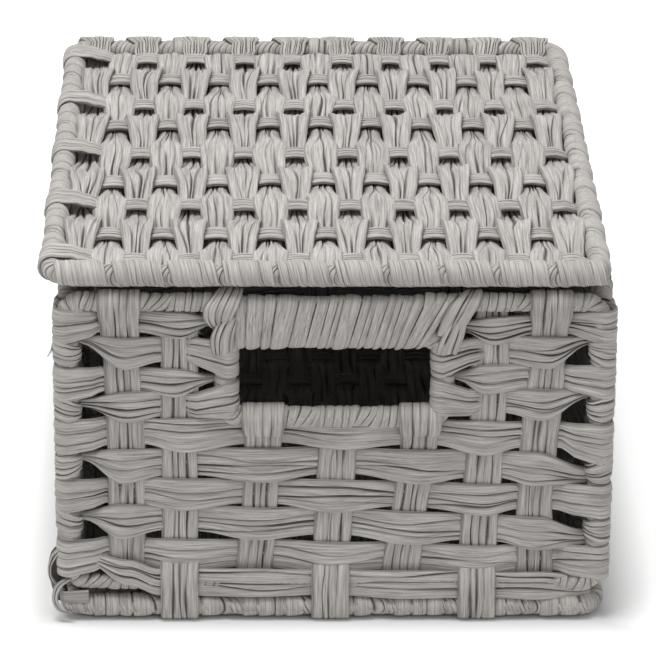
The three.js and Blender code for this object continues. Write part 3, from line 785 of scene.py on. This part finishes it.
def layBar(batch, j, bar, columns, panel, rng):
    even, edge, isLid = j % 2 == 1, panels[panel]["size"][0] / 2, panel == "lid"
    stops = [-edge + 10.0] + columns + [edge - 10.0]
    over, under, end = flatBars["over"], flatBars["under"], flatBars["endHeight"]
    heights = [end] + [over if (i % 2 == 1) == even else under for i in range(len(columns))] + [end]
    if not even:
        heights[:2] = flatBars["blockHeights"]
    u = np.arange(stops[0], stops[-1], flatBars["spacing" if isLid else "baseSpacing"])
    shift = np.interp(u, (columns[0], 0, columns[-1]), flatWeaving["barShifts"][j])
    lies = bar + shift + 0.5 * wander(u, 30.0, rng)
    halves = flatBars["width"] / 2 + 0.5 * wander(u, 18.0, rng)
    if not even:
        halves += np.interp(-u, (columns[-1] - 12, columns[-1] + 3), (0, 3.0))
    field = np.stack([u, eased(u, stops, heights), lies, halves], axis=1)
    # a tucked end, or on the left a block round the rail
    left, right = [[[side * (edge - 3.0), -1.5, lies[at], 3.0]] for side, at in ((-1, 0), (1, -1))]
    if not even:
        radius = flatBars["lidRadius" if isLid else "baseRadius"]
        left = roundRail(-edge, radius, 70, 320, lies[0], flatBars["blockHalf"], 14)[::-1]
    layRibbon(batch, [left, field, right], flatBars["ribbon"], rng)


def weaveFlat(panel, seed):
    rng = np.random.default_rng(seed)
    columns = [flatWeaving["first"] + i * flatWeaving["pitch"] for i in range(flatWeaving["columns"])]
    bars = [(i - (flatWeaving["bars"] - 1) / 2) * flatWeaving["barPitch"] for i in range(flatWeaving["bars"])]
    shifts = [np.interp(columns, (columns[0], 0, columns[-1]), shift) for shift in flatWeaving["barShifts"]]
    weavers, crossBars, blocks = newBatch(), newBatch(), newBatch()
    for i, column in enumerate(columns):
        layColumn(weavers, i, columns, bars, shifts, panel, rng)
        for side in (-1, 1) if i % 2 == 0 else ():
            layRailBlock(blocks, column, side, panel, rng)
    for j, bar in enumerate(bars):
        layBar(crossBars, j, bar, columns, panel, rng)
    for batch, kind in ((weavers, "weavers"), (crossBars, "bars"), (blocks, "blocks")):
        weavePiece(batch, panel, kind)


flatRailing = {
    "lid": {"radius": 6.5, "relief": 0.8, "around": 24, "blend": 5.0, "corner": 13.0},
    "base": {"radius": 5.8, "relief": 0.75, "around": 20, "blend": 5.0, "corner": 12.0},
    "tight": {"run": (26, 40), "pitch": 12.0, "slope": 0.2, "lift": -0.5, "seam": 0.7},
    "slant": {"run": (6, 11), "pitch": 4.0, "slope": 0.6, "lift": -1.4, "seam": 1.3},
    "lidEnds": {"pitch": 3.4, "slope": 0.7, "lift": -1.2, "seam": 1.3},
    "baseTight": {"pitch": 8.5}, "baseSlant": {"seam": 1.6, "lift": -0.8},
    "rightTight": {"run": (14, 26)}, "rightSlant": {"run": (8, 14), "slope": 0.9, "seam": 1.8},
}


def flatRail(panel, seed):
    rng = np.random.default_rng(seed)
    width, height = panels[panel]["size"]
    rail = flatRailing[panel]
    tight, slant = flatRailing["tight"], flatRailing["slant"]
    batch = newBatch()
    wraps = []
    for run, side in enumerate((width, height, width, height)):
        length = side - 2 * rail["corner"] + rail["corner"] * math.pi / 2
        if run % 2 == 0 and panel == "lid":
            wraps += windings(length, flatRailing["lidEnds"], rng)
        elif run % 2 == 0:
            wraps += mixedWindings(length, rng, {**railing["tight"], **flatRailing["baseTight"]},
                                   {**railing["slant"], **flatRailing["baseSlant"]})
        elif run == 1:
            wraps += mixedWindings(length, rng, {**tight, **flatRailing["rightTight"]},
                                   {**slant, **flatRailing["rightSlant"]})
        else:
            wraps += mixedWindings(length, rng, tight, slant)
    addRail(batch, width, height, rail["corner"], wraps, rail, rng)
    weavePiece(batch, panel, "rails")


for panel, seed in (("lid", 51), ("base", 52)):
    weaveFlat(panel, seed)
    flatRail(panel, seed + 20)
print("lid and base woven")

# Ties round two rails, with the ends tucked in on the inside
tying = {
    "height": 12.0, "strap": 20.0, "rail": 6.45, "spacing": 13.8, "lidSpacing": 14.5, "levels": (1, 3, 5, 7),
    "straps": (1, 3, 5), "drawnIn": (1.6, 2.2), "fan": (0.9, 2.6), "follow": 2.5,
    "ribbon": {"width": 12.0, "pleats": 4, "backPleats": 2, "depth": 0.8, "drift": 14.0, "stray": 0.8, "spread": 1.0,
               "relief": 0.6, "crease": 0.7, "thickness": 0.8, "curl": 0.15, "groove": 0.28, "tilt": 0.2},
}


def tieCurve(near, far, radius, middle, half):
    # one turn round two rails whose middles are near and far
    near, far = np.array(near, float), np.array(far, float)
    apart, centre = far - near, (near + far) / 2
    turn = math.degrees(math.atan2(*apart[::-1]))
    loop = []
    for rail, first in ((near, turn + 90), (far, turn - 90)):
        angle = np.radians(np.linspace(first, first + 180, 13))
        loop.append(np.stack([rail[0] + radius * np.cos(angle), rail[1] + radius * np.sin(angle)], axis=1))
    straight = [loop[0][-1] * (1 - t) + loop[1][0] * t for t in (0.25, 0.5, 0.75)]
    back = [loop[1][-1] * (1 - t) + loop[0][0] * t for t in (0.25, 0.5, 0.75, 0.92)]
    for part, most in zip((straight, back), tying["drawnIn"]):
        for k, point in enumerate(part):  # drawn in between the rails
            shift = np.dot(point - centre, apart)
            inward = (1 - abs(shift) / (0.5 * np.dot(apart, apart))) * most
            away = point - centre - apart * shift / np.dot(apart, apart)
            part[k] = point - away / np.linalg.norm(away) * max(inward, 0)
    loop = np.concatenate([loop[0], straight, loop[1], back])[::-1]
    return np.column_stack([loop, np.full(len(loop), middle), np.full(len(loop), half)])


def layTie(node, panel, rows, ribbon, rng, alongX=False):
    batch = newBatch()
    layRibbon(batch, [rows], ribbon, rng, alongX)
    batchToPiece(batch, node + "_ribbon", panel, [node])


for panel in ("front", "rear"):
    rng = np.random.default_rng(60 if panel == "front" else 61)
    for side in (-1, 1):
        hand = "left" if (side < 0) == (panel == "front") else "right"
        for count, row in enumerate(tying["levels"]):
            post = side * panels[panel]["size"][0] / 2
            level = evenLevel(row)
            if panel == "front":
                level += np.clip(levelAt(handWork, row, post) - level, -tying["follow"], tying["follow"])
            curve = tieCurve((post, 0), (post, -tying["spacing"]), tying["rail"], level, tying["height"] / 2)
            # the turn is fanned out at the corner and gathered on the inside
            inward = np.clip((post - curve[:, 0]) * side / tying["rail"], -1, 1)
            wider, gathered = tying["fan"]
            curve[:, 3] += wider - gathered * np.maximum(inward, 0)
            curve[:, 2] -= rng.uniform(0.5, 2.6) * inward * (1 if rng.random() < 0.75 else -1)
            layTie(f"{panel}_{hand}_tie_{count + 1}", panel, curve, tying["ribbon"], rng, alongX=True)

# Loose ends at the left corners of the front: loops and a bare patch below, a thread above
looseEnds = {
    "loops": (
        ((-141.0, -58.0, -2.0, 3.4), (-144.5, -64.0, -3.5, 4.2), (-146.0, -72.0, -4.0, 4.4), (-145.0, -82.0, -3.0, 4.0),
         (-142.0, -92.0, -2.0, 3.6)),
        ((-141.5, -58.0, 3.0, 2.2), (-146.5, -63.0, 1.5, 1.7), (-149.3, -70.0, 0.5, 1.1), (-149.4, -76.0, 0.5, 1.0),
         (-147.0, -80.5, 1.0, 1.5), (-143.0, -84.0, 1.5, 2.4)),
        ((-139.5, -76.0, 4.0, 2.6), (-144.5, -80.0, 3.8, 2.4), (-146.6, -85.5, 4.6, 1.7), (-146.4, -90.0, 6.0, 1.6),
         (-143.5, -93.5, 7.4, 1.8), (-138.5, -94.5, 8.0, 2.2)),
    ),
    "loopRibbon": {**tying["ribbon"], "width": 5.0, "pleats": 2}, "loopSteps": 16,
    "patch": {"level": -87.0, "out": 4.8, "left": -143.0, "right": -128.8, "half": 3.7, "slope": 0.08, "mark": 0.3},
    "plain": {**tying["ribbon"], "width": 7.4, "pleats": 1, "backPleats": 1, "relief": 0.05, "curl": 0.0},
    "thread": ((57.0, 1.0, -145.2, 0.5), (52.5, 1.5, -146.4, 0.45), (49.0, 1.5, -148.4, 0.2)), "threadThickness": 0.5,
}


def layLooseEnds():
    rng = np.random.default_rng(77)
    batch = newBatch()

    def markFrom(first, mark):
        batch["crease"][first:] = [np.full_like(values, mark) for values in batch["crease"][first:]]

    for index, points in enumerate(looseEnds["loops"]):
        first = len(batch["crease"])
        layBand(batch, points, looseEnds["loopSteps"], eased, looseEnds["loopRibbon"], rng)
        if index == 0:  # this one lies in the dark behind the others
            # painted shade: the whole loop gets the full crease mark because it lies in shadow
            markFrom(first, 1.0)
    patch, plain = looseEnds["patch"], looseEnds["plain"]
    x = np.linspace(patch["left"], patch["right"], 8)
    level = patch["level"] + patch["slope"] * (x - patch["left"])
    field = np.stack([x, patch["out"] + 0 * x, level, patch["half"] + 0 * x], axis=1)
    first = len(batch["crease"])
    turn = roundRail(patch["left"] + 4.0, patch["out"], 200, 120, patch["level"], patch["half"], 6)
    layRibbon(batch, [turn, field[2:]], plain, rng)
    markFrom(first, patch["mark"])
    thread = {**plain, "thickness": looseEnds["threadThickness"]}
    layRibbon(batch, [looseEnds["thread"][::-1]], thread, rng, alongX=False)
    batchToPiece(batch, "front_loose_ends", "front")


layLooseEnds()

# Straps tie the base's front rail under the front wall, and ties the lid's rear rail to the rear wall
strapping = {
    "ribbon": {**staking["ribbon"], "width": 20.0, "thickness": 0.9}, "rail": -79.0 - tying["spacing"],
    "radius": tying["rail"] + 0.5, "lidRear": 183.5, "lidRadius": tying["rail"] + 0.4, "lidShift": 4.5,
}
for count, number in enumerate(tying["straps"]):
    rng = np.random.default_rng(65 + count)
    # a strap leaves the weave under the last weaver but one, and goes round the base's front rail
    rail, radius, half = strapping["rail"], strapping["radius"], tying["strap"] / 2
    last, above = (float(levelAt(handWork, row, frontStakes[number])) for row in (9, 8))
    turn = roundRail(rail, radius, 270, 90, 0.0, half, 15)
    u = np.arange(rail + 2.5, above, staking["spacing"])
    height = eased(u, (rail, last - 4.0, last + 4.0, above), (radius, 6.3, 5.8, -0.1))
    rise = np.stack([u, height, 0 * u, half + 0.3 * wander(u, 12.0, rng)], axis=1)
    back = np.array([[-72.0, -radius, 0.0, 9.0], [-80.0, -radius, 0.0, 9.5]])
    rows = np.concatenate([back, turn, rise])
    rows[:, 2] = stakeAt(handWork, frontStakes, number, rows[:, 0])
    layTie(f"base_strap_{count + 1}", "front", rows, strapping["ribbon"], rng)
    near, far = (strapping["lidRear"], 0), (strapping["lidRear"], -tying["lidSpacing"])
    curve = tieCurve(near, far, strapping["lidRadius"], frontStakes[number] + strapping["lidShift"], half - 0.5)
    layTie(f"lid_tie_{count + 1}", "lid", curve, strapping["ribbon"], rng)
print("ties and straps made")

# Steel wires under the wrapping
wireLook = {"metallic": 0.7, "scale": 300.0, "dark": (0.05, 0.048, 0.045, 1), "pale": (0.11, 0.105, 0.10, 1),
            "roughness": (0.35, 0.6)}


def wireMaterial(look):
    material, tree, shader = newMaterial("darkWire")
    noise = addNoise(tree, objectPlace(tree), look["scale"])
    ramp = addNode(tree, "ValToRGB", {"Fac": noise})
    for stop, color in zip(ramp.color_ramp.elements, (look["dark"], look["pale"])):
        stop.color = color
    least, most = look["roughness"]
    rough = addNode(tree, "MapRange", {"Value": noise, "To Min": least, "To Max": most})
    setInputs(tree, shader, {"Metallic": look["metallic"], "Base Color": ramp.outputs["Color"],
                             "Roughness": rough.outputs["Result"]})
    return material


darkWire = wireMaterial(wireLook)
for name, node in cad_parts.items():
    if name.endswith("_frame") or name == "handle_wire":
        for slot in node.material_slots:
            slot.material = darkWire

# Camera as in the photograph
view = {"turn": 1.18, "rise": 22.0, "distance": 2434.0, "aimX": 5.2, "aimZ": 88.6, "lens": 236.56, "roll": 0.47,
        "sensor": 36.0, "clipEnd": 20.0}


def setCamera():
    turn, rise, roll = (math.radians(view[key]) for key in ("turn", "rise", "roll"))
    ahead = np.array([math.sin(turn) * math.cos(rise), math.cos(turn) * math.cos(rise), -math.sin(rise)])
    right = np.array([math.cos(turn), -math.sin(turn), 0.0])
    up = np.cross(right, ahead)
    right, up = math.cos(roll) * right + math.sin(roll) * up, math.cos(roll) * up - math.sin(roll) * right
    place = np.array([view["aimX"], 0.0, view["aimZ"]]) - view["distance"] * ahead
    bpy.ops.object.select_all(action="DESELECT")
    bpy.ops.object.camera_add(location=place * mm)
    camera = bpy.context.object
    camera.name = "photoCamera"
    turned = np.eye(4)
    turned[:3] = np.column_stack([right, up, -ahead, place * mm])
    camera.matrix_world = [list(row) for row in turned.T]
    camera.data.lens = view["lens"]
    camera.data.sensor_width = view["sensor"]
    camera.data.clip_end = view["clipEnd"]
    bpy.context.scene.camera = camera


setCamera()

# Floor, soft light and a white surround
studio = {
    "floor": 12.0, "floorLevel": -0.0006, "floorColor": (0.88, 0.88, 0.88, 1), "floorRoughness": 0.9, "floorWhite": 0.5,
    "under": {"X": 0.148, "Y": 0.19}, "fade": 0.03, "white": (1, 1, 1, 1), "sky": 0.42, "surround": 1.0,
    "aim": (0, 0, 0.1),
    "lamps": (("overheadLight", (-0.35, -0.3, 1.9), 1.1, 28.2), ("frontLight", (0.6, -2.2, 1.0), 1.4, 2.0)),
}


def floorMaterial():
    # the camera sees the floor a little whiter than it is, and the shadow stays; the glow is left out under the basket
    # and fades in over 3 cm round it, so the floor there is darker: painted shade added to the real shadow
    paint, tree, surface = newMaterial("floorPaint")
    setInputs(tree, surface, {"Base Color": studio["floorColor"], "Roughness": studio["floorRoughness"]})
    parts = addNode(tree, "SeparateXYZ", {"Vector": objectPlace(tree)})
    outside = [addMath(tree, "SUBTRACT", addMath(tree, "ABSOLUTE", parts.outputs[axis]), reach)
               for axis, reach in studio["under"].items()]
    fade = addNode(tree, "MapRange", {"Value": addMath(tree, "MAXIMUM", *outside), "From Max": studio["fade"],
                                      "To Max": studio["floorWhite"]})
    seen = addNode(tree, "LightPath", {}).outputs["Is Camera Ray"]
    strength = addMath(tree, "MULTIPLY", seen, fade.outputs["Result"])
    glow = addNode(tree, "Emission", {"Color": studio["white"], "Strength": strength})
    both = addNode(tree, "AddShader", {0: surface.outputs["BSDF"], 1: glow.outputs["Emission"]})
    setInputs(tree, tree.nodes["Material Output"], {"Surface": both.outputs["Shader"]})
    return paint


def setWorld():
    world = bpy.data.worlds.new("studioWorld")
    bpy.context.scene.world = world
    world.use_nodes = True
    tree = world.node_tree
    tree.nodes.clear()
    light, white = (addNode(tree, "Background", {"Color": studio["white"], "Strength": strength})
                    for strength in (studio["sky"], studio["surround"]))
    rays = addNode(tree, "LightPath", {})
    seen = addMath(tree, "MAXIMUM", rays.outputs["Is Camera Ray"], rays.outputs["Is Glossy Ray"])
    mix = addNode(tree, "MixShader", {"Fac": seen, 1: light.outputs["Background"], 2: white.outputs["Background"]})
    addNode(tree, "OutputWorld", {"Surface": mix.outputs["Shader"]})


def setStudio():
    bpy.context.scene.view_settings.view_transform = "Standard"
    bpy.ops.object.select_all(action="DESELECT")
    bpy.ops.mesh.primitive_plane_add(size=studio["floor"], location=(0, 0, studio["floorLevel"]))
    floor = bpy.context.object
    floor.name = "floor"
    floor.data.materials.append(floorMaterial())
    setWorld()
    for name, place, size, energy in studio["lamps"]:
        bpy.ops.object.light_add(type="AREA", location=place)
        lamp = bpy.context.object
        lamp.name = name
        lamp.data.size = size
        lamp.data.energy = energy
        aim = np.array(studio["aim"]) - np.array(place)
        turn, pitch = math.atan2(aim[1], aim[0]), math.atan2(aim[2], math.hypot(aim[0], aim[1]))
        lamp.rotation_euler = (math.pi / 2 + pitch, 0, turn - math.pi / 2)


setStudio()
print("camera and studio set")
